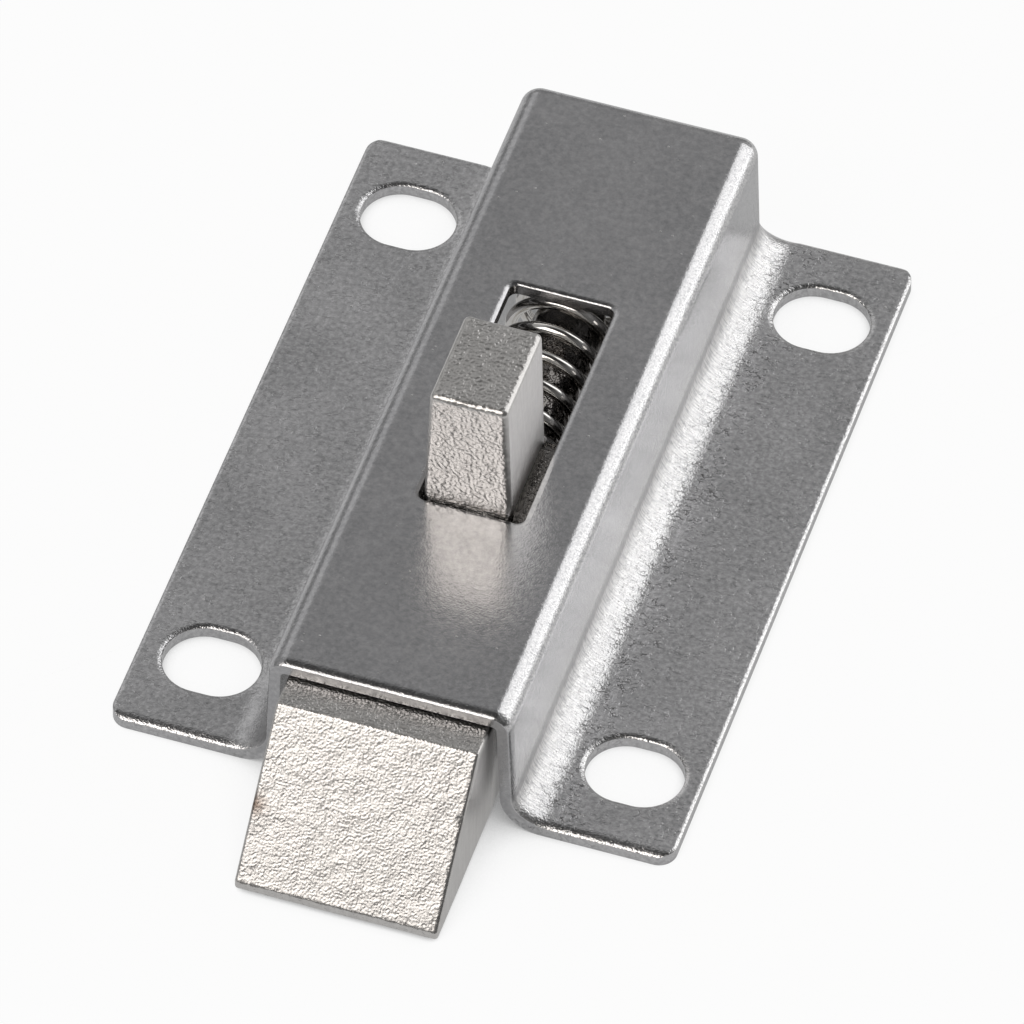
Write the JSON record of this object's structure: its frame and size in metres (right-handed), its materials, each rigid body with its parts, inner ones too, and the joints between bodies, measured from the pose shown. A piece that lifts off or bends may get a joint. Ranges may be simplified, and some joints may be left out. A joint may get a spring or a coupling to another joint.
{
  "type": "spring door bolt",
  "caption": "Surface-mounted spring bolt: a pressed hat-section housing with slotted flanges, a sliding wedge-nosed bolt with a thumb knob through a window, and a coil spring behind it.",
  "frame": {"origin": "centre of the four screw slots, on the face that meets the door", "axes": "+Z away from the door, -Y towards the nose along the bolt's travel, +X across the plate"},
  "size_m": [0.04, 0.0671, 0.0214],
  "materials": {
    "sheet": "satin pickled stainless steel sheet",
    "casting": "shot-blasted stainless steel casting, coarse grain",
    "wire": "bright drawn spring wire"
  },
  "bodies": {
    "plate": {"housing": "sheet", "spring": "wire"},
    "slider": {"bolt": "casting"}
  },
  "joints": [
    {"name": "bolt_slide", "type": "slide", "parent": "plate", "child": "slider", "axis": [0, 1, 0], "range_m": [0, 0.0127], "stiffness_N_per_m": 980, "springref_m": -0.0068, "deforming": ["spring"]}
  ]
}
